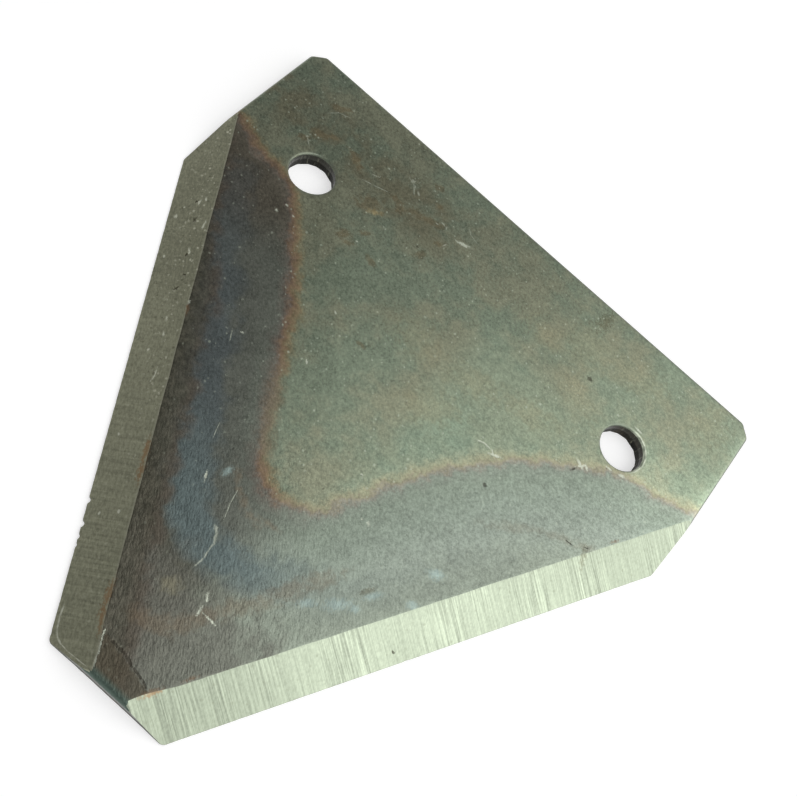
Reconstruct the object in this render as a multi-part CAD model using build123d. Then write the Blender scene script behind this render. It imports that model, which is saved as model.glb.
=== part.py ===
from build123d import *
from math import hypot
import os

# Mower sickle section: one flat steel blade that is riveted to a knife bar.
# Frame: the origin lies on the underside, midway between the two rivet holes.
# +X runs along the back edge, +Y points to the back edge, the tip points to -Y,
# and the ground face is up, +Z. All sizes are in millimetres.

# Blank
plate_thickness = 2.2
section_width = 76.2        # across the two ears, at the back edge
section_length = 76.2       # from the back edge to the clipped tip
back_to_rivets = 16.4       # from the back edge to the line of the rivet holes
ear_length = 26.2           # straight side, from the back edge to the cutting edge
ear_draw_in = 0.8           # how far each ear leans in towards the cutting edge
tip_width = 14.2            # flat across the clipped tip
back_corner_crop = 1.6      # cropped corner where the back edge meets an ear
back_corner_radius = 0.9    # softens both ends of the crop
heel_radius = 0.8           # outer corner, where an ear meets the cutting edge
tip_corner_radius = 0.7
die_roll = 0.55             # rounded upper rim that blanking leaves

# Rivet holes
rivet_spacing = 50.8
rivet_hole_diameter = 6.0
rivet_rim_roll = 0.25       # rounded upper rim that punching leaves

# Cutting bevels, one plane ground on each flank
edge_land = 0.1             # steel left under the bevel at the heel
left_heel_run = 10.0        # how far the left bevel climbs along the ear
left_tip_run = 5.0          # how far the left bevel reaches in along the tip
right_heel_run = 9.3
right_tip_run = 5.2

# Nicks that use has left in the left cutting edge
nick_radius = 0.4
nicks = {                   # distance from the tip along the edge: depth
    9.4: 0.10,
    10.3: 0.14,
    11.6: 0.25,
    14.1: 0.22,
}

# Places worked out from the sizes
back_y = back_to_rivets
heel_y = back_to_rivets - ear_length
tip_y = back_to_rivets - section_length
back_x = section_width / 2
heel_x = back_x - ear_draw_in
tip_x = tip_width / 2
LEFT, RIGHT = -1, 1


def rounded_profile():
    """Outline of the blank, seen from above."""
    back = [(side * back_x, back_y) for side in (LEFT, RIGHT)]
    heels = [(side * heel_x, heel_y) for side in (LEFT, RIGHT)]
    tips = [(side * tip_x, tip_y) for side in (LEFT, RIGHT)]
    outline = make_face(Polyline(back[0], back[1], heels[1], tips[1], tips[0], heels[0], close=True))
    outline = chamfer(outline.vertices().group_by(Axis.Y)[-1], back_corner_crop)
    rows = outline.vertices().group_by(Axis.Y)
    outline = fillet(rows[-1] + rows[-2], back_corner_radius)
    outline = fillet(nearest_vertices(outline, heels), heel_radius)
    return fillet(nearest_vertices(outline, tips), tip_corner_radius)


def nearest_vertices(outline, points):
    """The outline's own corners at the given places."""
    return [
        min(outline.vertices(), key=lambda corner: hypot(corner.X - x, corner.Y - y))
        for x, y in points
    ]


def blank():
    """The sheared blank, with the rolled upper rim that the die leaves."""
    plate = extrude(rounded_profile(), plate_thickness)
    upper_rim = plate.faces().sort_by(Axis.Z)[-1].outer_wire().edges()
    return fillet(upper_rim, die_roll)


def rivet_hole(side):
    """Cutter for one punched rivet hole, with its rolled upper rim."""
    radius = rivet_hole_diameter / 2
    mouth = radius + rivet_rim_roll
    shoulder = plate_thickness - rivet_rim_roll
    section = [
        Line((0, -plate_thickness), (radius, -plate_thickness)),
        Line((radius, -plate_thickness), (radius, shoulder)),
        RadiusArc((radius, shoulder), (mouth, plate_thickness), rivet_rim_roll),
        Line((mouth, plate_thickness), (mouth, 2 * plate_thickness)),
        Line((mouth, 2 * plate_thickness), (0, 2 * plate_thickness)),
        Line((0, 2 * plate_thickness), (0, -plate_thickness)),
    ]
    cutter = revolve(Plane.XZ * make_face(section), Axis.Z)
    return Pos(side * rivet_spacing / 2, 0, 0) * cutter


def bevel(side, heel_run, tip_run):
    """Everything above the ground plane of one flank."""
    heel = Vector(side * heel_x, heel_y, edge_land)
    ear_lean = Vector(side * (back_x - heel_x), back_y - heel_y, 0).normalized()
    upper_heel = Vector(heel.X, heel.Y, plate_thickness) + ear_lean * heel_run
    upper_tip = Vector(side * (tip_x - tip_run), tip_y, plate_thickness)
    along = upper_tip - upper_heel
    normal = along.cross(heel - upper_heel) * side
    ground = Plane(origin=(upper_heel + upper_tip) / 2, x_dir=along, z_dir=normal)
    reach = 2 * (section_width + section_length)
    return ground * Box(reach, reach, reach, align=(Align.CENTER, Align.CENTER, Align.MIN))


def edge_nick(distance, depth):
    """Round-bottomed cutter for one nick in the left cutting edge."""
    tip = Vector(-tip_x, tip_y, 0)
    heel = Vector(-heel_x, heel_y, 0)
    along = (heel - tip).normalized()
    outward = along.rotate(Axis.Z, 90)
    centre = tip + along * distance + outward * (nick_radius - depth)
    return Pos(centre) * Cylinder(nick_radius, 2 * plate_thickness)


def sickle_section():
    """The finished blade."""
    blade = blank()
    blade -= bevel(LEFT, left_heel_run, left_tip_run)
    blade -= bevel(RIGHT, right_heel_run, right_tip_run)
    for side in (LEFT, RIGHT):
        blade -= rivet_hole(side)
    for distance, depth in nicks.items():
        blade -= edge_nick(distance, depth)
    return blade


os.makedirs("parts", exist_ok=True)
export_step(sickle_section(), "parts/sickle_section.step")
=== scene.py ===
from itertools import groupby
from math import atan2, cos, degrees, exp, hypot, inf, pi, radians, sin, sqrt, tau

import bpy
import numpy as np
from mathutils import Matrix, Vector, noise
from mathutils.geometry import delaunay_2d_cdt


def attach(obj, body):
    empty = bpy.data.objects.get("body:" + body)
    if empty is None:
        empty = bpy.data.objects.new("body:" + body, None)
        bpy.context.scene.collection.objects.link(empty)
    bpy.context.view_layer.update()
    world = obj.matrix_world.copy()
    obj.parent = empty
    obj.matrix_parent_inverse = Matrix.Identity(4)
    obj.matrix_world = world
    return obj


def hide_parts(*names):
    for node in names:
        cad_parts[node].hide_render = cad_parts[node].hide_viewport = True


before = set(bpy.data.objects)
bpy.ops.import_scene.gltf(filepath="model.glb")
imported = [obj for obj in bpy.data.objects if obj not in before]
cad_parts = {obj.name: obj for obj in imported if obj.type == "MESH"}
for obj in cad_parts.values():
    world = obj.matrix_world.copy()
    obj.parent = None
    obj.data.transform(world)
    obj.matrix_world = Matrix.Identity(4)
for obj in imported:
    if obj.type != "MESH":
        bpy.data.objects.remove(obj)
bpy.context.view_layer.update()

# Mower sickle section. Sizes are in millimetres, in the frame of the CAD model:
# origin on the underside midway between the rivet holes, +X along the back edge,
# +Y to the back edge, tip to -Y, ground face up.
MM = 0.001
LEFT, RIGHT = -1, 1

# The solid's own sizes
THICKNESS = 2.2
BACK_X, BACK_Y = 38.1, 16.4
HEEL_X, HEEL_Y = 37.3, -9.8
TIP_X, TIP_Y = 7.1, -59.8
BACK_CROP, BACK_RADIUS, HEEL_RADIUS, TIP_RADIUS = 1.6, 0.9, 0.8, 0.7
DIE_ROLL = 0.55
RIVET_X, RIVET_RADIUS, RIM_ROLL = 25.4, 3.0, 0.25
EDGE_LAND = 0.1
HEEL_RUN = {LEFT: 10.0, RIGHT: 9.3}
TIP_RUN = {LEFT: 5.0, RIGHT: 5.2}
NICK_RADIUS = 0.4
NICKS = {9.4: 0.10, 10.3: 0.14, 11.6: 0.25, 14.1: 0.22}  # distance from the tip: depth

# What the worn surface adds
FACE_SINK = 0.02  # how far the worn face lies under the full thickness
CREASE_ROUND = 0.05  # height over which a crease is rounded off
GRIND_LEAN = 0.08  # how far the grinding lines lean off square to the crease
TIP_BITE = 0.2  # how much further the wheel bit in near the tip
TIP_BITE_AT, TIP_BITE_SPREAD = 2.0, 2.2
CREASE_FADE = 4.2  # how far from the crease the bevel is back at its true plane
CHATTER_END = 4.9  # and where the wheel's chatter has died out
TEAR_TOP = 0.66  # share of a wall's height where the torn steel begins
FULL_WALL = 1.5  # height from which a wall is as rough as any
WALL_ROWS = (0.9, 0.78, 0.66, 0.56, 0.44, 0.3, 0.16, 0.05, 0.0)

# Spacing of the mesh's points
OUTLINE_STEP, RIM_STEP, CORNER_STEPS, HOLE_STEPS = 0.4, 0.5, 7, 72
NICK_STEPS = 6  # parts that each step of the outline is cut into near a nick
CREASE_STEP, CREASE_END_STEP = 0.4, 0.06
CREASE_ROWS = (-0.28, -0.11, 0, 0.11, 0.28)
BEVEL_STEP_ALONG, BEVEL_STEP_ACROSS = 0.36, 0.55
FACE_STEP, BASE_STEP = 0.75, 2.5
FINE_MARK_STEP, BROAD_MARK_STEP = 0.11, 0.3
RIM_TURNS = (14, 30, 46, 62, 76, 90)
HOLE_TURNS = (0, 20, 40, 60, 78, 90)
SHARP_ANGLE = radians(38)


def strokes(*lines):
    """Thin marks as ellipses, each given as half its width and its points' x and y."""
    found = []
    for half_width, *places in lines:
        points = list(zip(places[::2], places[1::2]))
        for (x0, y0), (x1, y1) in zip(points, points[1:]):
            length = hypot(x1 - x0, y1 - y0)
            turn = degrees(atan2(y1 - y0, x1 - x0))
            found.append(((x0 + x1) / 2, (y0 + y1) / 2, length / 2 + half_width, half_width, turn))
    return found


# Marks on the upper side, each an ellipse: x, y, half length, half width and turn in degrees
RUST_PATCHES = [
    (-17.6, 2.2, 1.6, 1.15, 40), (-17.1, -3.7, 1, 0.6, 50), (-16.2, -4.4, 0.9, 0.5, 20),
    (-23.1, 6.2, 1.6, 0.55, -25), (-28.8, 5.4, 1.4, 0.6, 30), (-29.8, 3.4, 0.7, 0.5, 30),
    (-27.2, 6.6, 1.1, 0.45, 20), (-13, 6.2, 0.9, 0.7, 0), (-11.3, 6.7, 1.2, 0.6, 15),
    (-9.7, 7.3, 0.8, 0.45, 40), (-14.9, 5.2, 0.8, 0.7, 0), (-16.3, 5.7, 0.6, 0.5, 60),
    (-13.2, 12.1, 0.7, 0.5, 20), (-12.5, -4.1, 0.7, 0.5, 0), (-8.9, 1.6, 0.8, 0.5, 40),
    (-6, -14.1, 0.5, 0.25, 0), (-29.5, 11.2, 1.4, 0.5, 30), (-8.1, 5, 0.8, 0.5, 30),
    (-15.4, -1.6, 0.8, 0.4, 50), (-11.4, 9.6, 0.6, 0.4, 0),
]
TAN_HAZE = [
    (14.5, 8.5, 3.6, 3.2, 30), (9.5, 5.5, 2.6, 1.6, 0), (21.5, 10, 4.5, 2.2, 10), (33, 11.5, 2.4, 3.2, 0),
    (17.5, 1.5, 3.5, 1.6, -20), (6.5, -7.5, 3.6, 1.6, 20), (-2, -8, 3, 2, 0), (14.2, -5.4, 3, 1.6, 20),
    (4.8, -14, 3.4, 2, 40), (-2.5, -49, 0.9, 0.7, 40), (-23.3, 6.2, 1.5, 0.4, -24),
]
GOLD_SPOTS = [(-16.7, 1.8, 0.85, 0.42, 38)]
BLUE_GLINTS = [
    (8.6, -41.2, 0.9, 0.4, 45), (11, -39.2, 1.3, 0.55, 45), (12.6, -38.3, 0.5, 0.35, 40),
    (13.3, -35.9, 0.9, 0.35, 50), (17, -33.8, 0.6, 0.4, 30), (17, -29.4, 0.8, 0.5, 30),
    (-6.5, -36.5, 0.6, 0.3, 80),
]
CHIPS = strokes(
    (0.16, 22, -5.85, 22.9, -6.3), (0.13, 22.35, -6.55, 22.95, -5.8), (0.12, 23.1, -5.6, 23.5, -6.1),
    (0.15, 13.4, -13.4, 14.4, -12.95), (0.08, 13.3, -12.9, 13.8, -13.3),
    (0.08, 11.3, -13.15, 12.1, -12.85, 12.9, -12.9), (0.12, 0.7, -47.2, 1.1, -47.7),
    (0.12, 1.2, -48.5, 1.35, -49.3), (0.1, 2, -48.9, 3.2, -48.95), (0.1, -7.9, -38, -7.5, -38.8),
    (0.17, 8, -30.2, 8.1, -30.3), (0.1, 7.2, -30.3, 7.25, -30.35), (0.2, 27.1, -3.35, 27.4, -3.25),
    (0.11, 25.2, -3.75, 25.9, -3.7), (0.12, 25.4, 3.75, 26.3, 3.6), (0.22, -6.5, 7.3, -5.3, 7.7),
    (0.15, -24.75, -7.7, -24.65, -7.75), (0.12, -24.35, -6.2, -24.2, -6.2),
    (0.11, -22.85, -6.8, -22.75, -6.8), (0.12, -16.35, -23.2, -16.2, -23.15),
    (0.1, -10.9, -13, -10.7, -13.1), (0.1, -9.2, -20.3, -8.9, -20.6), (0.11, -15.4, -3.3, -15.3, -3.3),
    (0.1, 4, -26.4, 4.2, -26.4),
)
SCRATCHES = strokes(
    (0.15, -3.35, -41.7, -2.85, -42, -2.3, -43.1), (0.07, -2.35, -43, -2.2, -43.9, -2, -44.9, -2.1, -46),
    (0.045, -4.3, -37.4, -3.95, -38.8, -3.3, -40.4), (0.06, -20.6, 4.6, -19.4, 5, -17.6, 5.7),
    (0.07, -16.9, 9.9, -15.9, 9.5, -15, 8.4), (0.09, -16.1, 10.2, -16.4, 9.6),
    (0.04, -10.7, -33, -10.4, -33.9, -10.1, -34.6), (0.06, -17.2, -23.9, -16.6, -24.9),
    (0.05, -30.2, 9.2, -29.4, 10.3, -28.2, 10.8), (0.07, -29.6, 3.9, -28.4, 2.9),
    (0.05, -6.8, 10.1, -6.1, 9.5, -5.1, 9.2), (0.12, -16.4, 10, -16.2, 9.9), (0.09, -15.7, 9.5, -15.5, 9.3),
    (0.11, -14.9, 9.1, -14.5, 8.8), (0.08, -20.3, 6.3, -19.7, 6.6), (0.1, -9.8, 7.9, -9.4, 7.8),
    (0.09, -9, 7.8, -8.9, 7.5), (0.09, -7.5, 5.6, -7.6, 5.2), (0.08, -10.3, 7.2, -10.1, 7.2),
)
# Painted highlights along the left crease near the tip and along the rounded edges at the tip
EDGE_HIGHLIGHTS = strokes(
    (0.09, -4, -56, -3.5, -56.9, -2.85, -58.1, -2.35, -59.2),
    (0.07, -8.5, -56.6, -8, -57.6, -7.4, -58.5, -6.8, -59.05, -6.2, -59.3),
    (0.04, -6.2, -59.3, -5.2, -59.45, -4.2, -59.45, -3, -59.45),
)
BEVEL_CHIPS = strokes(
    (0.16, -32.2, -16.65, -32.1, -16.8), (0.09, -32.3, -15.2, -32.25, -15.25),
    (0.12, -29.3, -21.6, -29.2, -21.7), (0.12, -27.7, -19.4, -27.3, -19.8), (0.1, -31.5, -13.4, -31.3, -14),
    (0.09, -31.2, -12.8, -31, -13.1), (0.11, -28.9, -15.5, -28.6, -16.3),
    (0.13, -22.85, -24.7, -22.75, -24.9), (0.1, -22.2, -29.2, -22, -29.5), (0.1, -23.3, -27.6, -23.1, -27.9),
    (0.07, -19.6, -33, -19.2, -33.7, -19.1, -34.3), (0.1, -22, -31.7, -21.9, -31.9),
    (0.11, -17.25, -40.8, -17.2, -40.85), (0.11, -11.3, -46.9, -11.2, -47),
    (0.08, -12.6, -48.1, -12.55, -48.2),
)
DARK_PITS = [
    (17.1, 4.7, 0.38, 0.26, 0), (15.1, -17, 0.26, 0.2, 0), (-9.8, 2.3, 0.16, 0.14, 0),
    (22.1, -7.2, 0.12, 0.4, -25), (26.6, -15.3, 0.5, 0.07, 5), (28.6, -14.3, 0.4, 0.07, 20),
]
FAINT_MARKS = strokes((0.14, -6.4, -12.8, -5.4, -12.65, -4.7, -13.2), (0.1, -6, -13.35, -5, -13.45)) + [
    (14.2, 13.8, 0.75, 1.6, 0), (29, -15.4, 1.2, 0.35, -60), (12.5, -36, 0.3, 0.9, -30),
]
CRACK = strokes(
    (0.16, -2.9, -56.4, -2, -56.4, -1.1, -56.45, 0.15, -56.85),
    (0.11, 0.15, -56.85, 1.1, -57, 1.7, -57.1, 2.4, -57.4),
)
BEVEL_PITS = [
    (-30.1, -15.9, 0.16, 0.32, 20), (-27.4, -20.2, 0.12, 0.32, 10), (-25.7, -22.3, 0.13, 0.11, 0),
    (-25.1, -24.2, 0.2, 0.28, 0), (-31.7, -13.8, 0.12, 0.2, 0), (18.6, -38.4, 0.14, 0.12, 0),
]
TAN_ARCS = strokes(
    (0.75, -2.6, -53, -0.4, -52.4, 1.2, -50.5, 2.6, -48, 4.3, -45.4, 5.9, -42.9, 7.2, -39.9, 8.8, -37.2),
    (0.35, -6.2, -35.2, -4.2, -37.2, -1.6, -38.4, 1.2, -37.6), (0.45, 24, -16.2, 27, -15, 29.6, -13.8),
    (0.5, 18.6, -20.2, 23, -16.8),
)
RUSTY_CREASE = strokes(
    (0.28, -14.3, -39.8, -13.2, -41.6, -12.3, -43.2), (0.26, -6.6, -52.4, -5.6, -54.6, -4.4, -56.3),
    (0.2, 5.2, -53.6, 4.6, -54.7), (0.28, 3.5, -56.8, 2.9, -57.8), (0.16, -22.6, -25.1, -22, -26),
    (0.16, 31.2, -10.6, 30.7, -11.4),
)
MARKS = {
    "rust": RUST_PATCHES, "haze": TAN_HAZE, "gold": GOLD_SPOTS, "glint": BLUE_GLINTS,
    "arc": TAN_ARCS, "creep": RUSTY_CREASE, "faint": FAINT_MARKS, "scratch": SCRATCHES,
    "chips_and_highlights": CHIPS + EDGE_HIGHLIGHTS + BEVEL_CHIPS, "dark": DARK_PITS + CRACK + BEVEL_PITS,
}

# Painted light and shade on the upper face: areas made lighter or darker, each an ellipse, and the change at
# its middle
PAINTED_LIGHT_AND_SHADE = [
    (0, -39, 5.5, 4, 0, 0.12), (19.5, -13, 12, 3.2, 42, 0.08), (30.5, -5.5, 6, 3, 20, 0.08),
    (29, -0.5, 4, 3, 60, 0.12), (37.6, 2, 13, 1.5, 88, 0.28), (-5.5, -24, 8, 3, -55, -0.09),
    (9.5, -41, 7, 2.2, 55, -0.07), (-37.6, 6, 10, 2, 90, 0.08), (0, 15, 34, 1.6, 0, 0.06),
    (-31, -3.7, 7.5, 1.3, -14, 0.14),
]

# Where the oxide changes colour, and the middle of its blue band, read off the photograph
TINT_LINE = [
    (-38, -0.6), (-35.8, -1.1), (-32, -2.7), (-26.7, -3.3), (-23.9, -5.6), (-19.2, -11.1), (-14.8, -16.4),
    (-11.1, -23), (-7.9, -28.5), (-4.5, -33.4), (-1, -35), (2.8, -33.4), (4.9, -29.4), (9, -21.2),
    (14.8, -13.2), (20.6, -7.6), (26.4, -3.4), (32.8, -1.6), (38, 0.2),
]
BLUE_LINE = [
    (-31, -7.5), (-28.4, -11.5), (-25.4, -15.8), (-22.2, -20.2), (-19, -24.6), (-16, -28.8), (-13.3, -32.6),
    (-10.8, -36.6), (-8.2, -40.4), (-5.4, -43), (-2.4, -44), (0.6, -43.2), (4, -41.8), (9, -39.4), (14, -35),
    (22, -23),
]


def mark_reach(x, y, ellipses):
    """How far each point is from the nearest ellipse, where 1 is its rim."""
    nearest = np.full(len(x), 9.0)
    for cx, cy, length, width, turn in ellipses:
        a = radians(turn)
        u = ((x - cx) * cos(a) + (y - cy) * sin(a)) / length
        v = ((y - cy) * cos(a) - (x - cx) * sin(a)) / width
        nearest = np.minimum(nearest, np.hypot(u, v))
    return nearest


def mark_points(ellipses, step):
    """Points in and round marks, for the mesh to carry their shape."""
    over_length, over_width, across = 1.5, 2.1, 4
    found = []
    for cx, cy, length, width, turn in ellipses:
        a = radians(turn)
        along = max(3, round(length / step))
        for i in range(-along, along + 1):
            for j in range(-across, across + 1):
                u, v = over_length * length * i / along, over_width * width * j / across
                found.append(Vector((cx + u * cos(a) - v * sin(a), cy + u * sin(a) + v * cos(a))))
    return found


# The camera, solved from the photograph
CAMERA_AT = Vector((5.10, -74.20, 96.19)) * MM
CAMERA_AIM = Vector((1.25, -14.74, 0)) * MM
CAMERA_ROLL = radians(42.94)
CAMERA_LENS, CAMERA_SENSOR = 43.87, 36
CAMERA_CLIP_START = 5 * MM


def put(name, data):
    made = bpy.data.objects.new(name, data)
    bpy.context.scene.collection.objects.link(made)
    return made


def place_camera():
    """A camera above the tip side, turned so that the tip points to the lower left."""
    forward = (CAMERA_AIM - CAMERA_AT).normalized()
    level = forward.cross(Vector((0, 1, 0))).normalized()
    upright = level.cross(forward)
    right = cos(CAMERA_ROLL) * level + sin(CAMERA_ROLL) * upright
    up = right.cross(forward)
    camera = put("camera", bpy.data.cameras.new("camera"))
    camera.matrix_world = Matrix((right, up, -forward)).transposed().to_4x4()
    camera.location = CAMERA_AT
    camera.data.lens = CAMERA_LENS
    camera.data.sensor_width = CAMERA_SENSOR
    camera.data.clip_start = CAMERA_CLIP_START
    bpy.context.scene.camera = camera


def rounded_corners():
    """The blank's corners, from the right of the tip: centre, radius and outward directions."""
    lean = Vector((HEEL_X - BACK_X, HEEL_Y - BACK_Y)).normalized()
    right = [
        (Vector((TIP_X, TIP_Y)), TIP_RADIUS),
        (Vector((HEEL_X, HEEL_Y)), HEEL_RADIUS),
        (Vector((BACK_X, BACK_Y)) + lean * BACK_CROP, BACK_RADIUS),
        (Vector((BACK_X - BACK_CROP, BACK_Y)), BACK_RADIUS),
    ]
    points = right + [(Vector((-p.x, p.y)), radius) for p, radius in reversed(right)]
    arcs = []
    for i, (point, radius) in enumerate(points):
        before = (point - points[i - 1][0]).normalized()
        after = (points[(i + 1) % len(points)][0] - point).normalized()
        out_before, out_after = Vector((before.y, -before.x)), Vector((after.y, -after.x))
        spread = (out_before + out_after).normalized()
        centre = point - spread * radius / spread.dot(out_before)
        arcs.append((centre, radius, out_before, out_after))
    return arcs


ARCS = rounded_corners()
CUTTING = (RIGHT, 0, 0, 0, 0, 0, LEFT, 0)  # flank of a cutting edge that follows a corner
LEFT_TIP = Vector((-TIP_X, TIP_Y))
LEFT_EDGE = (Vector((-HEEL_X, HEEL_Y)) - LEFT_TIP).normalized()


def outline(step):
    """Points round the smooth outline, each with its outward direction and its flank."""
    found = []
    for i, (centre, radius, out_before, out_after) in enumerate(ARCS):
        for k in range(CORNER_STEPS + 1):
            out = out_before.slerp(out_after, k / CORNER_STEPS)
            found.append((centre + out * radius, out, 0))
        start = found[-1][0]
        next_centre, next_radius = ARCS[(i + 1) % len(ARCS)][:2]
        end = next_centre + out_after * next_radius
        count = max(1, round((end - start).length / step))
        for k in range(1, count):
            found.append((start.lerp(end, k / count), out_after, CUTTING[i]))
    return found


def depth_inside(p):
    """Distance from a point to the smooth outline; negative outside."""
    least = inf
    for centre, radius, out_before, out_after in ARCS:
        away = p - centre
        in_arc = out_before.cross(away) >= 0 and away.cross(out_after) >= 0
        if in_arc and away.dot(out_before + out_after) > 0:
            least = min(least, radius - away.length)
        else:
            least = min(least, radius - away.dot(out_after))
    return least


def rivet_gap(p):
    """Distance from a point to the nearer rivet hole; negative inside."""
    return min((p - Vector((side * RIVET_X, 0))).length for side in (LEFT, RIGHT)) - RIVET_RADIUS


def near_nick(p):
    return any((p - LEFT_TIP - LEFT_EDGE * at).length < NICK_RADIUS + 0.1 for at in NICKS)


def lumps(x, y, z):
    """Smooth noise from -1 to 1."""
    return noise.noise(Vector((x, y, z)))


class Bevel:
    """The ground plane of one flank, and its crease as a line in plan."""

    def __init__(self, side):
        self.side = side
        lean = Vector((side * (BACK_X - HEEL_X), BACK_Y - HEEL_Y)).normalized()
        heel = Vector((side * HEEL_X, HEEL_Y))
        top = heel + lean * HEEL_RUN[side]
        self.low = Vector((side * (TIP_X - TIP_RUN[side]), TIP_Y))
        self.length = (top - self.low).length
        self.along = (top - self.low).normalized()
        self.inward = Vector((-side * self.along.y, side * self.along.x))
        self.slope = (THICKNESS - EDGE_LAND) / (top - heel).dot(self.inward)

    def place(self, p):
        """Distance up the crease from the tip, and distance in from the crease."""
        away = p - self.low
        return away.dot(self.along), away.dot(self.inward)

    def point(self, s, q):
        return self.low + self.along * s + self.inward * q

    def wander(self, s):
        """How far the crease strays into the flat, where the wheel bit deeper."""
        shift = 0.06 * lumps(s * 0.3, 3.7 * self.side, 0)
        shift += 0.025 * lumps(s * 1.3, 9.1 * self.side, 0)
        return shift + TIP_BITE * exp(-(((s - TIP_BITE_AT) / TIP_BITE_SPREAD) ** 2))

    def height(self, p):
        """Height of the ground plane, with its wandering crease and its chatter."""
        s, q = self.place(p)
        plane = THICKNESS + self.slope * q
        lift = -FACE_SINK - self.slope * self.wander(s)
        fade = min(1, max(0, 1 + q / CREASE_FADE))
        chatter = 0.006 * lumps(s * 1.9, q * 0.12, 5 * self.side)
        chatter += 0.010 * lumps(s * 0.5, q * 0.1, 7 * self.side)
        chatter *= (1 - fade) * min(1, max(0, CHATTER_END + q))
        return plane + lift * fade * fade + chatter


BEVELS = {side: Bevel(side) for side in (LEFT, RIGHT)}


def roll_off(depth, radius):
    """How far a rolled rim drops at a depth in from its edge."""
    depth = max(0, depth)
    return radius - sqrt(radius**2 - (radius - depth) ** 2) if depth < radius else 0


def face_height(p):
    """The upper face before grinding: nearly flat, rolled off at the rims."""
    wave = 0.010 * lumps(p.x / 13, p.y / 13, 1.3)
    wave += 0.004 * lumps(p.x / 3.5, p.y / 3.5, 4.1)
    rolled = roll_off(depth_inside(p), DIE_ROLL) + roll_off(rivet_gap(p), RIM_ROLL)
    return THICKNESS - FACE_SINK + wave - rolled


def ground_height(p):
    return min(bevel.height(p) for bevel in BEVELS.values())


def top_height(p):
    """The lower of the face and the bevels, with a rounded crease between them."""
    face, ground = face_height(p), ground_height(p)
    overlap = max(CREASE_ROUND - abs(face - ground), 0) / CREASE_ROUND
    return min(face, ground) - overlap**2 * CREASE_ROUND / 4


def crease_line(bevel):
    """Where the face really meets the ground plane: distances along and in."""
    line = []
    s = -1.5
    while s < bevel.length + 3:
        low, high = -2.5, 1
        for _ in range(40):
            middle = (low + high) / 2
            p = bevel.point(s, middle)
            if bevel.height(p) < face_height(p):
                low = middle
            else:
                high = middle
        if depth_inside(bevel.point(s, low)) > 0:
            line.append((s, low))
        s += CREASE_STEP if 1.5 <= s <= bevel.length - 3 else CREASE_END_STEP
    return line


def edge_wear(p, flank):
    """How far use has bitten into a cutting edge."""
    bite = 0.05 * max(0, lumps(p.x * 1.7, p.y * 1.7, 2)) ** 1.5
    bite += 0.03 * max(0, lumps(p.x * 4.1, p.y * 4.1, 8))
    for at, deep in NICKS.items() if flank == LEFT else ():
        half = (p - LEFT_TIP).dot(LEFT_EDGE) - at
        if abs(half) < NICK_RADIUS:
            bite = max(bite, sqrt(NICK_RADIUS**2 - half**2) - (NICK_RADIUS - deep))
    return bite


def worn_outline():
    """The real outline, with its nicks and ragged cutting edges."""
    smooth = outline(OUTLINE_STEP)
    found = []
    for (p, out, flank), (after, *_) in zip(smooth, smooth[1:] + smooth[:1]):
        reach = (p - LEFT_TIP).dot(LEFT_EDGE)
        nicked = flank == LEFT and any(abs(reach - at) < 2 * NICK_RADIUS for at in NICKS)
        for k in range(NICK_STEPS if nicked else 1):
            q = p.lerp(after, k / NICK_STEPS)
            found.append(q - out * edge_wear(q, flank) if flank else q)
    return found


class Plan:
    """Points and edges seen from above, to be filled with triangles."""

    def __init__(self):
        self.points, self.edges = [], []

    def chain(self, run, closed=False):
        """A run of points joined by edges."""
        first = len(self.points)
        self.points.extend(run)
        self.edges.extend((first + i, first + i + 1) for i in range(len(run) - 1))
        if closed:
            self.edges.append((first + len(run) - 1, first))

    def triangles(self):
        """Points, faces outside the rivet holes, and each point's sources."""
        tolerance = 1e-5
        verts, _, faces, sources, _, _ = delaunay_2d_cdt(self.points, self.edges, [], 1, tolerance)
        chosen = []
        for face in faces:
            a, b, c = (verts[i] for i in face)
            if rivet_gap((a + b + c) / 3) >= -0.004:
                chosen.append(face if (b - a).cross(c - a) > 0 else face[::-1])
        return verts, chosen, sources


def grid(step_x, step_y, stagger=0):
    """Points in rows over the blank; the stagger moves every other row along."""
    row, y = 0, TIP_Y
    while y < BACK_Y:
        x = -BACK_X + (row % 2) * stagger
        while x < BACK_X:
            yield Vector((x, y))
            x += step_x
        y += step_y
        row += 1


def bevel_grid(bevel):
    """Points in rows over one ground bevel."""
    s = 0
    while s < bevel.length + 3:
        q = -0.6
        while q > -6:
            p = bevel.point(s, q)
            if depth_inside(p) > 0.2 and not near_nick(p) and ground_height(p) < face_height(p) - 0.12:
                yield p
            q -= BEVEL_STEP_ACROSS
        s += BEVEL_STEP_ALONG


def face_stays(p):
    return ground_height(p) > face_height(p) - 0.08


def add_rolled_rim(plan):
    """Rows round the rolled rim, where the grinding has left it."""
    smooth = outline(RIM_STEP)
    for turn in RIM_TURNS:
        inset = DIE_ROLL * (1 - cos(radians(turn)))
        row = [p - out * inset for p, out, _ in [*smooth, smooth[0]]]
        for stays, run in groupby(row, face_stays):
            if stays:
                plan.chain(list(run))


def add_flank(plan, side):
    """Rows along one crease, points over its bevel, and rings round its rivet hole."""
    bevel = BEVELS[side]
    line = crease_line(bevel)
    for offset in CREASE_ROWS:
        run = [bevel.point(s, q + offset) for s, q in line]
        plan.chain([p for p in run if depth_inside(p) > 0.004])
    plan.points.extend(bevel_grid(bevel))
    hole = Vector((side * RIVET_X, 0))
    for turn in HOLE_TURNS:
        radius = RIVET_RADIUS + RIM_ROLL * (1 - cos(radians(turn)))
        angles = [tau * k / HOLE_STEPS for k in range(HOLE_STEPS)]
        ring = [hole + Vector((cos(a), sin(a))) * radius for a in angles]
        plan.chain(ring, closed=True)


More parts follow.
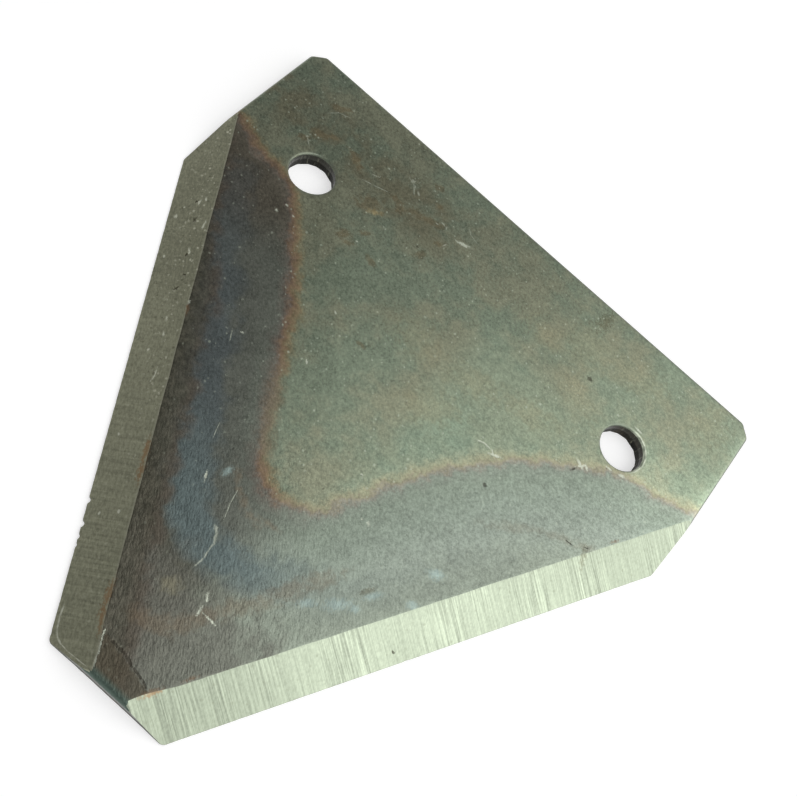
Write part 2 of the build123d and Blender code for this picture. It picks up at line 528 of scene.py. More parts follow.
def upper_plan():
    """Plan points of the upper surface and its triangles."""
    plan = Plan()
    plan.chain(worn_outline(), closed=True)
    add_rolled_rim(plan)
    for side in (LEFT, RIGHT):
        add_flank(plan, side)

    fine = mark_points(MARKS["chips_and_highlights"] + MARKS["scratch"] + MARKS["dark"], FINE_MARK_STEP)
    broad = mark_points(MARKS["gold"] + MARKS["glint"] + MARKS["rust"], BROAD_MARK_STEP)
    for p in fine + broad:
        depth, ground = depth_inside(p), ground_height(p)
        on_face = depth > 0.7 and rivet_gap(p) >= 0.4 and ground > THICKNESS + 0.15
        if on_face or (depth > 0.3 and ground < face_height(p) - 0.14):
            plan.points.append(p)
    for p in grid(FACE_STEP, FACE_STEP * 0.866, FACE_STEP / 2):
        if depth_inside(p) > 0.8 and rivet_gap(p) >= 0.5 and ground_height(p) > THICKNESS + 0.2:
            plan.points.append(p)
    return plan.triangles()[:2]


def boundary_loops(faces):
    """The open borders of a set of faces, each in the order its faces run."""
    pairs = dict.fromkeys((a, b) for face in faces for a, b in zip(face, [*face[1:], face[0]]))
    border = {a: b for a, b in pairs if (b, a) not in pairs}
    loops = []
    while border:
        here, loop = next(iter(border)), []
        while here in border:
            loop.append(here)
            here = border.pop(here)
        loops.append(loop)
    return loops


def wall_inset(travel, share, thick, is_hole):
    """How far in a wall stands: drawn smooth above, torn and rough below."""
    torn = max(0, min(1, (TEAR_TOP - share) / 0.1))
    rough = 0.5 + 0.5 * lumps(travel * 1.1, share * 2.2, 11 + is_hole * 9)
    rough += 0.35 * lumps(travel * 3.4, share * 3, 23)
    burnish = 0.25 + 0.25 * lumps(travel * 2.6, 0.3 * share, 31)
    inset = thick**2 * ((0.015 + 0.05 * rough) * torn + 0.012 * burnish * (1 - torn))
    if share == 0:
        inset += 0.05 * thick
    return max(0, inset)


class BladeMesh:
    """The whole blade: upper surface, sheared walls and underside."""

    def __init__(self):
        self.verts, self.faces, self.kinds = [], [], []
        self.travel = {}  # distance round the wall, for each of a wall's points
        self.base, self.base_points = Plan(), []
        for loop in boundary_loops(self.add_upper()):
            self.add_wall(loop)
        self.add_underside()

    def add_face(self, face, kind):
        self.faces.append(face)
        self.kinds.append(kind)

    def add_upper(self):
        """The upper surface; returns its faces."""
        plan, faces = upper_plan()
        used = sorted({i for face in faces for i in face})
        new = {old: i for i, old in enumerate(used)}
        self.verts = [Vector((plan[i].x, plan[i].y, top_height(plan[i]))) for i in used]
        faces = [[new[i] for i in face] for face in faces]
        for face in faces:
            centre = sum((self.verts[i].xy for i in face), Vector((0, 0))) / len(face)
            is_ground = ground_height(centre) < face_height(centre)
            self.add_face(face, "ground" if is_ground else "face")
        return faces

    def add_wall(self, loop):
        """A wall from one border of the upper surface down to the underside."""
        verts, size = self.verts, len(loop)
        is_hole = size < 2 * HOLE_STEPS
        travel = [0]
        for i in range(1, size):
            travel.append(travel[-1] + (verts[loop[i]].xy - verts[loop[i - 1]].xy).length)
        upper_row = loop
        for share in WALL_ROWS:
            row = []
            for i, at in enumerate(loop):
                here = verts[at]
                run = (verts[loop[(i + 1) % size]].xy - verts[loop[i - 1]].xy).normalized()
                into = Vector((-run.y, run.x))
                thick = min(1, here.z / FULL_WALL)
                p = here.xy + into * wall_inset(travel[i], share, thick, is_hole)
                row.append(len(verts))
                self.travel[len(verts)] = travel[i]
                verts.append(Vector((p.x, p.y, here.z * share)))
            for i in range(size):
                j = (i + 1) % size
                face = [upper_row[j], upper_row[i], row[i], row[j]]
                self.add_face(face, "bore" if is_hole else "sheared")
            upper_row = row
        self.base.chain([verts[i].xy.copy() for i in row], closed=True)
        self.base_points += row

    def add_underside(self):
        """The flat underside, joined to the lowest row of every wall."""
        self.base.points.extend(
            p for p in grid(BASE_STEP, BASE_STEP) if depth_inside(p) > 1.2 and rivet_gap(p) >= 1
        )
        plan, lower, origin = self.base.triangles()
        place = {}
        for i, sources in enumerate(origin):
            rim = [k for k in sources if k < len(self.base_points)]
            if rim:
                place[i] = self.base_points[rim[0]]
        for face in lower:
            for i in face[::-1]:
                if i not in place:
                    place[i] = len(self.verts)
                    self.verts.append(Vector((plan[i].x, plan[i].y, 0)))
            self.add_face([place[i] for i in face[::-1]], "underside")


def smooth_line(points):
    """A Catmull-Rom curve through the points."""
    cuts = 6
    ends = [Vector(p) for p in (points[0], *points, points[-1])]
    line = []
    for p, q, r, s in zip(ends, ends[1:], ends[2:], ends[3:]):
        for k in range(cuts):
            t = k / cuts
            bend = (2 * p - 5 * q + 4 * r - s) * t**2 + (3 * q - p - 3 * r + s) * t**3
            line.append((2 * q + (r - p) * t + bend) / 2)
    return [*line, ends[-1]]


def line_distance(x, y, line):
    """Distance from a line, positive on its left as it runs."""
    best, sign = np.full(len(x), inf), np.ones(len(x))
    for a, b in zip(line, line[1:]):
        run = b - a
        share = np.clip(((x - a.x) * run.x + (y - a.y) * run.y) / run.length_squared, 0, 1)
        away = np.hypot(x - a.x - run.x * share, y - a.y - run.y * share)
        nearer = away < best
        best = np.where(nearer, away, best)
        sign = np.where(nearer, np.sign(run.x * (y - a.y) - run.y * (x - a.x)), sign)
    return best * sign


def add_fields(mesh, verts, travel):
    """What the materials read from the mesh, stored on its points."""
    x, y = np.array([v.x for v in verts]), np.array([v.y for v in verts])
    left = BEVELS[LEFT]
    values = {
        "left": [q - left.wander(s) for s, q in (left.place(v.xy) for v in verts)],
        "tint": line_distance(x, y, smooth_line(TINT_LINE)),
        "blue": abs(line_distance(x, y, smooth_line(BLUE_LINE))),
        "rim": [min(depth_inside(v.xy), rivet_gap(v.xy)) for v in verts],
        "lift": np.ones(len(x)),
    }
    for name, ellipses in MARKS.items():
        values[name] = mark_reach(x, y, ellipses)
    # lift: painted light and shade, a factor on the face's colour
    for *ellipse, change in PAINTED_LIGHT_AND_SHADE:
        values["lift"] += change * np.clip(1.25 - mark_reach(x, y, [ellipse]), 0, 1)
    for name, column in values.items():
        attribute = mesh.attributes.new(name, "FLOAT", "POINT")
        attribute.data.foreach_set("value", np.array(column, np.float32))
    grind = []
    for i, v in enumerate(verts):
        s, q = BEVELS[RIGHT if v.x > 0 else LEFT].place(v.xy)
        grind.extend((travel[i], v.z, 0) if i in travel else (s + GRIND_LEAN * q, q, 0))
    mesh.attributes.new("grind", "FLOAT_VECTOR", "POINT").data.foreach_set("vector", grind)


def build_blade(materials):
    """The blade as one piece, with a material for each kind of surface."""
    shape = BladeMesh()
    mesh = bpy.data.meshes.new("blade")
    mesh.from_pydata([v * MM for v in shape.verts], [], shape.faces)
    mesh.update()
    add_fields(mesh, shape.verts, shape.travel)
    blade = put("blade", mesh)
    for material in materials.values():
        mesh.materials.append(material)
    kinds = list(materials)
    for polygon, kind in zip(mesh.polygons, shape.kinds):
        polygon.material_index = kinds.index(kind)
    mesh.shade_smooth()
    mesh.set_sharp_from_angle(angle=SHARP_ANGLE)
    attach(blade, "root")
    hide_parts("sickle_section")


# Materials. Colours are sRGB, 0 to 255, and every place and length is in millimetres.

NOISE_SPREAD = 0.22  # a noise rarely strays further than this from its middle, 0.5


def linear(colour):
    """An sRGB colour as a linear one, with alpha."""
    shares = [c / 255 for c in colour]
    return (*(c / 12.92 if c <= 0.04045 else ((c + 0.055) / 1.055) ** 2.4 for c in shares), 1)


class Graph:
    """Builds one material's nodes. Sockets and plain values can be mixed freely."""

    def __init__(self, name):
        self.material = bpy.data.materials.new(name)
        self.material.use_nodes = True
        self.tree = self.material.node_tree
        self.shader = self.tree.nodes["Principled BSDF"]
        coordinates = self.add("ShaderNodeTexCoord").outputs["Object"]
        scaled = self.add("ShaderNodeVectorMath", coordinates, operation="SCALE")
        scaled.inputs["Scale"].default_value = 1 / MM
        self.place = scaled.outputs["Vector"]
        self.x, self.y, self.z = self.add("ShaderNodeSeparateXYZ", self.place).outputs

    def add(self, kind, *values, **settings):
        """A new node, with its first inputs fed in order."""
        node = self.tree.nodes.new(kind)
        for key, value in settings.items():
            setattr(node, key, value)
        for socket, value in zip(node.inputs, values):
            self.feed(socket, value)
        return node

    def feed(self, socket, value):
        if isinstance(value, bpy.types.NodeSocket):
            self.tree.links.new(value, socket)
        elif value is not None:
            socket.default_value = value

    def math(self, operation, first, *others):
        """The operation carried along from value to value."""
        for other in others:
            first = self.add("ShaderNodeMath", first, other, operation=operation).outputs[0]
        return first

    def plus(self, *values):
        return self.math("ADD", *values)

    def minus(self, a, b):
        return self.math("SUBTRACT", a, b)

    def times(self, *values):
        return self.math("MULTIPLY", *values)

    def weigh(self, *pairs):
        """The sum of values, each times its own weight."""
        return self.plus(*(self.times(value, weight) for value, weight in pairs))

    def ease(self, value, low, high, start=0, end=1):
        """Smoothly from start to end as value goes from low to high."""
        span = (value, low, high, start, end)
        return self.add("ShaderNodeMapRange", *span, interpolation_type="SMOOTHSTEP").outputs[0]

    def below(self, value, low, high):
        """1 where value is under low, and smoothly down to 0 at high."""
        return self.ease(value, low, high, 1, 0)

    def swing(self, *pairs):
        """Noises added up, each turned into a change of up to plus or minus its amount."""
        low, high = 0.5 - NOISE_SPREAD, 0.5 + NOISE_SPREAD
        return self.plus(*(self.ease(value, low, high, -amount, amount) for value, amount in pairs))

    def noise(self, per_mm, detail, roughness, place=None, stretch=None, seed=0):
        """Noise from 0 to 1, with about per_mm lumps in a millimetre."""
        place = self.place if place is None else place
        if stretch or seed:
            node = self.add("ShaderNodeMapping", place, (seed, -seed, 0.7 * seed))
            node.inputs["Scale"].default_value = stretch or (1, 1, 1)
            place = node.outputs[0]
        node = self.add("ShaderNodeTexNoise")
        for key, value in zip(("Vector", "Scale", "Detail", "Roughness"), (place, per_mm, detail, roughness)):
            self.feed(node.inputs[key], value)
        return node.outputs["Fac"]

    def turned(self, degrees, along, across):
        """Coordinates in which patterns come out stretched along a direction."""
        node = self.add("ShaderNodeMapping", self.place, vector_type="TEXTURE")
        node.inputs["Rotation"].default_value = (0, 0, radians(degrees))
        node.inputs["Scale"].default_value = (along, across, 1)
        return node.outputs[0]

    def flecks(self, per_mm, share, size):
        """Scattered dots: a share of the cells has one, of up to the given size in cells."""
        node = self.add("ShaderNodeTexVoronoi")
        self.feed(node.inputs["Vector"], self.place)
        self.feed(node.inputs["Scale"], per_mm)
        chance, spread, _ = self.add("ShaderNodeSeparateColor", node.outputs["Color"]).outputs
        reach = self.times(spread, size)
        dot = self.below(node.outputs["Distance"], self.times(reach, 0.45), reach)
        return self.times(dot, self.ease(chance, 1 - share, 1 - 0.9 * share))

    def mix_value(self, share, a, b):
        return self.add("ShaderNodeMix", share, None, a, b, data_type="FLOAT").outputs[0]

    def mix(self, share, a, b, blend="MIX"):
        """Two colours mixed, with b's share given."""
        node = self.add("ShaderNodeMix", data_type="RGBA", blend_type=blend)
        self.feed(node.inputs["Factor"], share)
        sockets = [s for s in node.inputs if s.type == "RGBA"]
        for socket, value in zip(sockets, (a, b)):
            self.feed(socket, linear(value) if isinstance(value, tuple) else value)
        return next(s for s in node.outputs if s.type == "RGBA")

    def cover(self, colour, *layers):
        """The colour under layers of others, each at the product of its shares."""
        for paint, *shares in layers:
            colour = self.mix(self.times(*shares), colour, paint)
        return colour

    def shade(self, colour, *factors):
        """The colour made darker or lighter by factors that vary over the surface."""
        factor = self.times(*factors)
        grey = self.add("ShaderNodeCombineColor", factor, factor, factor).outputs[0]
        return self.mix(1, colour, grey, "MULTIPLY")

    def ramp(self, value, stops):
        """Colours at the values given with them."""
        low, high = stops[0][0], BANDS_END
        share = self.add("ShaderNodeMapRange", value, low, high, 0, 1).outputs[0]
        node = self.add("ShaderNodeValToRGB", share)
        band = node.color_ramp
        while len(band.elements) < len(stops):
            band.elements.new(1)
        for element, (at, colour) in zip(band.elements, stops):
            element.position = (at - low) / (high - low)
            element.color = linear(colour)
        return node.outputs["Color"]

    def field(self, name, output="Fac"):
        return self.add("ShaderNodeAttribute", attribute_name=name).outputs[output]

    def mark(self, name, softness, ragged):
        """A mask of one kind of mark, with its rim made ragged by a noise."""
        return self.below(self.plus(self.field(name), ragged), 1 - softness, 1 + softness)

    def finish(self, colour, metallic, roughness, height):
        """Wires the shader. The height is in millimetres."""
        bump = self.add("ShaderNodeBump")
        for node, name, value in (
            (bump, "Strength", 1), (bump, "Distance", MM), (bump, "Height", height),
            (self.shader, "Base Color", colour), (self.shader, "Metallic", metallic),
            (self.shader, "Roughness", roughness), (self.shader, "Normal", bump.outputs["Normal"]),
        ):
            self.feed(node.inputs[name], value)
        return self.material


# Colours that tempering left, at distances out from the tint line
BANDS_END = 13
LEFT_BANDS = [
    (-2, (122, 126, 106)), (-1.1, (126, 123, 98)), (-0.6, (131, 119, 93)), (-0.2, (128, 110, 88)),
    (0.15, (122, 105, 88)), (0.5, (112, 102, 91)), (0.9, (104, 102, 93)), (1.8, (98, 102, 93)),
    (5, (94, 97, 89)), (8.5, (92, 96, 89)), (12, (84, 84, 74)),
]
RIGHT_BANDS = [
    (-2, (144, 157, 136)), (-0.7, (153, 158, 133)), (-0.25, (158, 158, 131)), (0.1, (152, 148, 127)),
    (0.5, (143, 142, 130)), (1, (135, 144, 131)), (2.2, (133, 144, 130)), (5, (138, 149, 136)),
    (8.5, (145, 155, 143)), (12, (144, 153, 139)),
]
UNDERSIDE_BANDS = [
    (-4, (138, 144, 126)), (-0.5, (142, 136, 110)), (0.6, (126, 108, 96)), (2.4, (104, 106, 100)),
    (7, (96, 106, 110)), (11, (88, 86, 76)),
]


class FaceGraph(Graph):
    """The upper face's graph, with what its layers share."""

    def __init__(self):
        super().__init__("blade_face")
        self.tint, self.rim = self.field("tint"), self.field("rim")
        self.cloud = self.noise(0.37, 3, 0.55)
        self.patch = self.noise(1.2, 2, 0.55)
        self.rolled = self.turned(131, 1.9, 0.9)
        self.grain = self.noise(3.8, 1.5, 0.6, self.rolled)
        self.fine = self.noise(6.5, 2, 0.7)
        self.ragged = self.swing((self.fine, 0.45), (self.grain, 0.35))
        self.uneven = self.swing((self.patch, 0.5), (self.fine, 0.15))
        wobble = self.swing((self.noise(0.45, 3, 0.6), 0.42), (self.patch, 0.2), (self.fine, 0.22))
        self.out = self.minus(wobble, self.tint)
        self.outside = self.ease(self.out, 1, 3)
        self.tipward = self.below(self.y, -46, -20)
        # the right ear: more pale flecks there, and a painted highlight in face_tone
        self.ear = self.times(self.ease(self.x, 24, 36), self.below(self.y, 0, 8))


def temper_colour(g):
    """The clean face inside the tint line, and the bands outside it."""
    drift = g.weigh((g.x, 0.02), (g.y, -0.014))
    brown = g.weigh((g.noise(0.11, 2, 0.5), 0.55), (g.cloud, 0.33), (g.patch, 0.12), (drift, -0.03))
    inside = g.mix(g.ease(brown, 0.41, 0.59), (138, 151, 130), (145, 149, 126))
    # painted light and shade: the clean face is lighter towards the right and the tip, and darker by the left
    # part of the tint line
    inside = g.shade(inside, g.ease(drift, -0.25, 0.65, 0.71, 1.02),
                     g.ease(g.math("MAXIMUM", g.tint, g.x), 1, 8, 0.93, 1))
    inside = g.cover(inside, (
        (134, 155, 135), g.ease(g.x, 1, 6), g.below(g.x, 15, 21),
        g.ease(g.y, -3, 3, 0.4, 0),
    ))
    left = g.cover(g.ramp(g.out, LEFT_BANDS), (
        (116, 124, 112), g.ease(g.y, -26, -21, 0.35, 0), g.ease(g.y, -34, -31),
        g.below(g.out, 1.6, 3),
    ))
    bands = g.mix(g.ease(g.x, -3.5, 6), left, g.ramp(g.out, RIGHT_BANDS))
    return g.mix(g.ease(g.out, -2, -0.7), inside, bands)


def flank_oxide(g, colour):
    """Areas of oxide outside the tint line, and the dark strip by the left crease."""
    upper = g.ease(g.plus(g.y, g.times(g.x, -0.5)), -4, 6)
    blue = g.mix(g.ease(g.y, -42, -28), (97, 111, 111), (85, 93, 94))
    blue_reach = g.plus(g.field("blue"), g.swing((g.cloud, 0.9)))
    low = g.below(g.plus(g.y, g.swing((g.cloud, 2))), -50, -44)
    strip = g.plus(g.ease(g.y, -24, -13, 2.5, 0.2), g.swing((g.cloud, 0.6)))
    past_strip = g.minus(g.field("left"), strip)
    dark = g.mix(g.ease(g.patch, 0.4, 0.6), (75, 73, 61), (85, 82, 70))
    at_tip = g.plus(g.y, g.times(g.x, 0.19), g.swing((g.patch, 0.15)))
    return g.cover(
        colour,
        ((90, 83, 71), upper, g.ease(g.out, 0.2, 1.4), 0.75),
        (blue, g.below(blue_reach, 0.9, 3.2), g.outside, g.ease(g.x, 1, 10, 0.8, 0.12),
         g.ease(g.y, -24, -8, 1, 0.45)),
        ((108, 108, 99), low, g.outside, 0.75),
        (dark, g.ease(past_strip, -0.5, 0.7, 0.72, 0), g.outside),
        ((90, 81, 72), g.ease(past_strip, -1.3, -0.2), g.below(past_strip, 0.1, 1.4), g.outside,
         g.ease(g.cloud, 0.4, 0.6, 0.15, 0.5)),
        ((80, 74, 61), g.below(at_tip, -57.1, -56.8), 0.75),
    )


def stains(g, colour, rust):
    """Tan arcs and haze, pale glints, rust, and other stains."""
    return g.cover(
        colour,
        ((128, 113, 92), g.mark("arc", 0.8, g.uneven), g.ease(g.x, 10, 16, 0.38, 0.22)),
        ((160, 154, 124), g.mark("haze", 0.75, g.uneven), 0.3),
        ((166, 188, 184), g.mark("glint", 0.7, g.ragged), 0.5),
        ((98, 94, 75), g.below(g.x, -12, -4), g.ease(g.y, 1, 5), g.below(g.y, 9, 13),
         g.ease(g.cloud, 0.4, 0.6, 0.15, 0.6)),
        ((112, 98, 72), rust, 0.5),
        ((184, 166, 120), g.mark("gold", 0.7, g.times(g.uneven, 0.7)), 0.55),
        ((96, 88, 62), g.mark("faint", 0.5, g.ragged), 0.4),
        ((124, 96, 70), g.mark("creep", 0.6, g.ragged), 0.5),
    )


def face_tone(g, colour):
    """Fine changes of tone, and painted light and shade: lighter and darker areas, and a painted highlight on
    the right ear.
    """
    stipple = g.times(g.swing((g.noise(2.7, 2, 0.65), 0.17)), g.ease(g.tipward, 0.3, 1, 1, 0.2))
    tone = g.swing((g.cloud, 0.08), (g.patch, 0.09), (g.grain, 0.10), (g.fine, 0.12))
    colour = g.shade(colour, g.plus(tone, stipple, 1))
    # painted light and shade from the lift field, and a painted highlight lightening the right ear
    return g.shade(colour, g.field("lift"), g.plus(1, g.times(g.ear, 0.30)))


def specks(g, colour, dents, chips_and_highlights):
    """Pale flecks, small holes, dents, chips with painted edge highlights, and scratches."""
    amount = g.plus(g.ease(g.tipward, 0, 1, 0.55, 0.2), g.times(g.ear, 0.4))
    return g.cover(
        colour,
        ((188, 197, 178), g.flecks(1.8, 0.45, 0.42), g.ease(g.grain, 0.4, 0.6, 0.1, 1), amount,
         g.ease(g.out, 0, 2, 1, 0.6)),
        ((66, 64, 52), g.flecks(1.5, 0.16, 0.28), 0.35),
        ((54, 50, 41), dents, 0.7),
        # chips, and painted highlights along the edges near the tip
        ((206, 212, 194), chips_and_highlights, 0.8),
        ((198, 204, 186), g.mark("scratch", 0.6, g.ragged), 0.5),
    )


def rims(g, colour, painted_rim_shade):
    """Rubbed, blue-green and lit rims, and painted shade on the rolled rims of the back edge and the right
    ear.
    """
    lit_side = g.ease(g.plus(g.x, g.times(g.y, 0.45)), 25.8, 27.6)
    return g.cover(
        colour,
        ((120, 128, 118), g.below(g.rim, 0, 0.5), g.ease(g.patch, 0.4, 0.6, 0.15, 0.6)),
        ((82, 100, 92), g.ease(g.y, -58.6, -58, 0.85, 0), g.below(g.rim, 0.3, 1.1)),
        ((222, 230, 208), lit_side, g.below(g.x, 30, 31), g.below(g.y, 5, 7),
         g.below(g.rim, 0.22, 0.42), g.ease(g.patch, 0.38, 0.6, 0.25, 0.9)),
        ((62, 65, 56), painted_rim_shade),
    )


def face_material():
    """Hardened face under thin oxide: tempering colours, stains and marks."""
    g = FaceGraph()
    rust = g.mark("rust", 0.5, g.uneven)
    dents = g.mark("dark", 0.5, g.times(g.ragged, 0.5))
    chips_and_highlights = g.mark("chips_and_highlights", 0.55, g.ragged)
    # painted shade: the rolled rims of the back edge and the right ear are darkened and take little light
    on_back = g.times(g.ease(g.y, 15.4, 15.8), g.below(g.rim, 0.24, 0.5))
    on_ear = g.times(g.ease(g.x, 36.6, 37), g.below(g.rim, 0.1, 0.3))
    painted_rim_shade = g.times(g.math("MAXIMUM", on_back, on_ear), g.ease(g.patch, 0.35, 0.62, 0.3, 0.65))
    colour = stains(g, flank_oxide(g, temper_colour(g)), rust)
    colour = rims(g, specks(g, face_tone(g, colour), dents, chips_and_highlights), painted_rim_shade)
    g.feed(g.shader.inputs["Specular IOR Level"], g.ease(painted_rim_shade, 0, 0.65, 0.5, 0.1))
    metallic = g.ease(painted_rim_shade, 0, 0.65, 0.85, 0.5)
    roughness = g.plus(0.40, g.swing((g.cloud, 0.04), (g.grain, 0.05)), g.times(rust, 0.10))
    pebble = g.weigh((g.grain, 0.052), (g.noise(1.7, 1, 0.5, g.rolled), 0.035))
    relief = g.times(pebble, g.ease(g.y, -50, -24, 0.95, 0.2))
    height = g.plus(relief, g.weigh((g.fine, 0.010), (dents, -0.03), (chips_and_highlights, -0.012)))
    return g.finish(colour, metallic, roughness, height)


def bevel_material():
    """Ground steel: lines across the bevel, a rougher left flank given painted shade, a painted highlight
    along the left crease, rust at the creases.
    """
    g = Graph("ground_bevel")
    lines, left = g.field("grind", "Vector"), g.field("left")
    on_right = g.ease(g.x, -0.5, 0.5)
    coarse = g.noise(1, 2, 0.6, lines, (0.7, 0.03, 1))
    medium = g.noise(1, 2, 0.7, lines, (2.4, 0.06, 1), 3)
    hair = g.noise(1, 2, 0.7, lines, (5.2, 0.13, 1), 6)
    cloud = g.noise(0.35, 3, 0.6)
    grain = g.noise(4.5, 2, 0.7, g.turned(128, 2, 1))

    left_light = g.ease(g.y, -30, -20, 1.11, 0.91)
    right_light = g.times(g.ease(g.y, -54, -43, 0.77, 1), g.ease(g.y, -20, -13, 1, 0.91))
    streak = g.plus(g.swing((coarse, 0.03), (medium, 0.07), (hair, 0.25)),
                    g.ease(medium, 0.63, 0.72, 0, -0.15), g.ease(medium, 0.28, 0.37, 0.11, 0))
    worn = g.ease(g.noise(0.22, 2, 0.6, lines, (1, 0.25, 1), 8), 0.42, 0.58, 0.5, 1.25)
    streak = g.times(streak, g.mix_value(on_right, g.ease(g.y, -50, -30, 0.4, 0.2), worn))
    mottle = g.times(g.swing((cloud, 0.05), (grain, 0.20)), g.mix_value(on_right, 1, 0.5))
    # painted light and shade: the left bevel is given a darker colour than the right, and each is made
    # lighter or darker along its length
    colour = g.mix(on_right, (152, 153, 131), (174, 184, 163))
    colour = g.shade(colour, g.plus(streak, mottle, 1), g.mix_value(on_right, left_light, right_light))

    ragged = g.swing((grain, 0.6))
    pits = g.mark("dark", 0.5, ragged)
    dark_share = g.mix_value(on_right, g.ease(g.y, -44, -26, 0.25, 0.55), 0.2)
    colour = g.cover(
        colour,
        # painted highlight: a pale line along the left crease
        ((192, 192, 170), g.ease(left, -0.24, -0.06), g.mix_value(on_right, 0.5, 0)),
        ((164, 122, 80), g.mark("creep", 0.6, ragged), 0.55),
        ((116, 112, 88), g.mark("faint", 0.5, ragged), 0.4),
        ((212, 212, 190), g.flecks(2.2, 0.8, 0.55), g.mix_value(on_right, 0.95, 0),
         g.ease(left, -4.4, -1, 0.15, 1), g.ease(g.y, -48, -28, 0.3, 1),
         g.ease(grain, 0.4, 0.58, 0.1, 1)),
        ((104, 104, 84), g.flecks(1.7, 0.45, 0.42), dark_share),
        ((66, 64, 50), pits, 0.85),
        # chips, and painted highlights along the edges near the tip
        ((226, 228, 208), g.mark("chips_and_highlights", 0.55, ragged), 0.85),
    )
    roughness = g.plus(0.33, g.swing((medium, 0.05)))
    height = g.weigh((medium, 0.012), (hair, 0.008), (grain, 0.012), (pits, -0.04))
    return g.finish(colour, 1, roughness, height)


def wall_material(name, torn, torn_light, burnished, streaks, drawn):
    """A blanked or punched wall: burnished upper band, torn steel below."""
    g = Graph(name)
    pulled = g.noise(1, 3, 0.65, g.field("grind", "Vector"), (3.2, 0.5, 1))
    grain = g.noise(3.4, 4, 0.7, seed=5)
    wavy = g.times(g.minus(g.noise(0.8, 3, 0.6, seed=2), 0.5), 0.9)
    band = g.ease(g.plus(g.z, wavy), 0.85, 1.05)
    colour = g.mix(band, g.mix(g.ease(grain, 0.3, 0.7), torn, torn_light), burnished)
    colour = g.shade(colour, g.plus(1, g.ease(pulled, 0.25, 0.75, -streaks, streaks)))
    colour = g.cover(colour, ((132, 132, 114), g.ease(pulled, 0.56, 0.68), drawn))
    at_tip = g.ease(g.y, -59.3, -58.7, 0.45, 1)
    stain = g.ease(g.noise(0.35, 3, 0.6, seed=9), 0.52, 0.68)
    colour = g.cover(g.shade(colour, at_tip), ((104, 84, 62), stain, 0.35 * (1 - drawn)))
    roughness = g.plus(0.52, g.times(band, -0.16), g.ease(grain, 0.3, 0.7, -0.05, 0.05))
    height = g.plus(g.times(pulled, 0.03), g.times(grain, 0.05, g.minus(1.2, band)))
    return g.finish(colour, 0.85, roughness, height)


def underside_material():
    """The unground lower face: mill scale, paler where it has been rubbed."""
    g = Graph("underside")
    cloud = g.noise(0.2, 4, 0.6)
    patch, grain = g.noise(1.2, 3, 0.6, seed=2), g.noise(5, 3, 0.6, seed=4)
    out = g.minus(g.times(g.minus(cloud, 0.5), 3), g.field("tint"))
    colour = g.shade(g.ramp(out, UNDERSIDE_BANDS), g.plus(
        1, g.ease(patch, 0.25, 0.75, -0.12, 0.12), g.ease(grain, 0.3, 0.7, -0.08, 0.08)))
    rubbed = g.ease(g.noise(1, 3, 0.6, stretch=(0.15, 2.4, 1), seed=3), 0.58, 0.68)
    colour = g.cover(colour, ((170, 172, 156), rubbed, 0.35))
    roughness = g.plus(0.42, g.ease(cloud, 0.3, 0.7, -0.06, 0.06))
    return g.finish(colour, 0.85, roughness, g.weigh((patch, 0.02), (grain, 0.012)))


def blade_materials():
    """One material for each kind of surface."""
    sheared = ((92, 92, 82), (120, 120, 106), (134, 140, 130))
    punched = ((24, 24, 20), (42, 42, 36), (52, 52, 45))
    return {
        "face": face_material(),
        "ground": bevel_material(),
        "sheared": wall_material("sheared_wall", *sheared, streaks=0.16, drawn=0),
        "bore": wall_material("rivet_bore", *punched, streaks=0.45, drawn=0.6),
        "underside": underside_material(),
    }


# Light and floor, in metres
ROOM_LIGHT = 0.30
KEY_AZIMUTH, KEY_ELEVATION = radians(10), radians(47)
KEY_AIM = Vector((0, -0.02, 0))
KEY_DISTANCE, KEY_SIZE, KEY_RADIANCE = 1, 2, 1.3
FLOOR_COLOUR, FLOOR_GLOW = (0.60, 0.60, 0.60, 1), 0.55
FLOOR_DROP = 0.00002  # keeps the floor clear of the underside


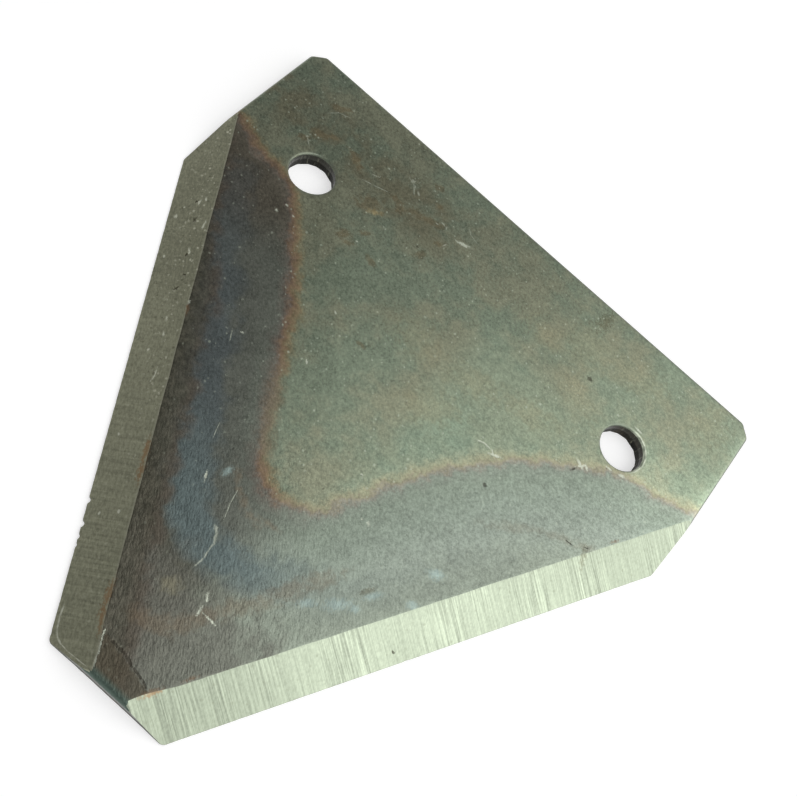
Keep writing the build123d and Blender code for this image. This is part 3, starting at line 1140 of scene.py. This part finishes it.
def light_scene():
    """Plain soft studio light: an even dim room and one broad softbox to the right."""
    world = bpy.data.worlds.new("studio")
    bpy.context.scene.world = world
    world.use_nodes = True
    background = world.node_tree.nodes["Background"]
    background.inputs["Color"].default_value = (1, 1, 1, 1)
    background.inputs["Strength"].default_value = ROOM_LIGHT

    level = cos(KEY_ELEVATION)
    towards = Vector((cos(KEY_AZIMUTH) * level, sin(KEY_AZIMUTH) * level, sin(KEY_ELEVATION)))
    data = bpy.data.lights.new("key", "AREA")
    data.size = KEY_SIZE
    data.energy = KEY_RADIANCE * pi * KEY_SIZE**2
    lamp = put("key", data)
    lamp.matrix_world = towards.to_track_quat("Z", "Y").to_matrix().to_4x4()
    lamp.location = KEY_AIM + KEY_DISTANCE * towards


def floor_mesh():
    """A flat round floor that curves up into a low backdrop all round."""
    flat, reach, top, bend, bend_steps, parts = (0.4, 1.4), 2.4, 1.4, 0.5, 12, 96
    profile = [(radius, 0) for radius in flat]
    for k in range(bend_steps + 1):
        a = radians(90 * k / bend_steps)
        profile.append((reach - bend + bend * sin(a), bend - bend * cos(a)))
    profile.append((reach, top))
    turns = [tau * k / parts for k in range(parts)]
    verts = [(0, 0, 0)] + [(radius * cos(a), radius * sin(a), z) for radius, z in profile for a in turns]
    faces = [(0, 1 + k, 1 + (k + 1) % parts) for k in range(parts)]
    for inner in range(1, 1 + parts * (len(profile) - 1), parts):
        outer = inner + parts
        for k in range(parts):
            j = (k + 1) % parts
            faces.append((inner + k, outer + k, outer + j, inner + j))
    mesh = bpy.data.meshes.new("floor")
    mesh.from_pydata(verts, [], faces)
    mesh.shade_smooth()
    return mesh


def floor_material():
    """Matt white, which also glows to the camera and to mirror and glass rays."""
    g = Graph("floor")
    rays = g.add("ShaderNodeLightPath").outputs
    seen = g.math("MAXIMUM", rays["Is Camera Ray"], rays["Is Glossy Ray"], rays["Is Transmission Ray"])
    matt = g.add("ShaderNodeBsdfDiffuse", FLOOR_COLOUR)
    glow = g.add("ShaderNodeEmission", None, g.times(seen, FLOOR_GLOW))
    both = g.add("ShaderNodeAddShader", matt.outputs[0], glow.outputs[0])
    g.tree.nodes.remove(g.shader)
    g.feed(g.tree.nodes["Material Output"].inputs["Surface"], both.outputs[0])
    return g.material


def lay_floor():
    floor = put("floor", floor_mesh())
    floor.location.z = -FLOOR_DROP
    floor.data.materials.append(floor_material())


place_camera()
build_blade(blade_materials())
light_scene()
lay_floor()

bpy.context.scene.view_settings.view_transform = "Standard"
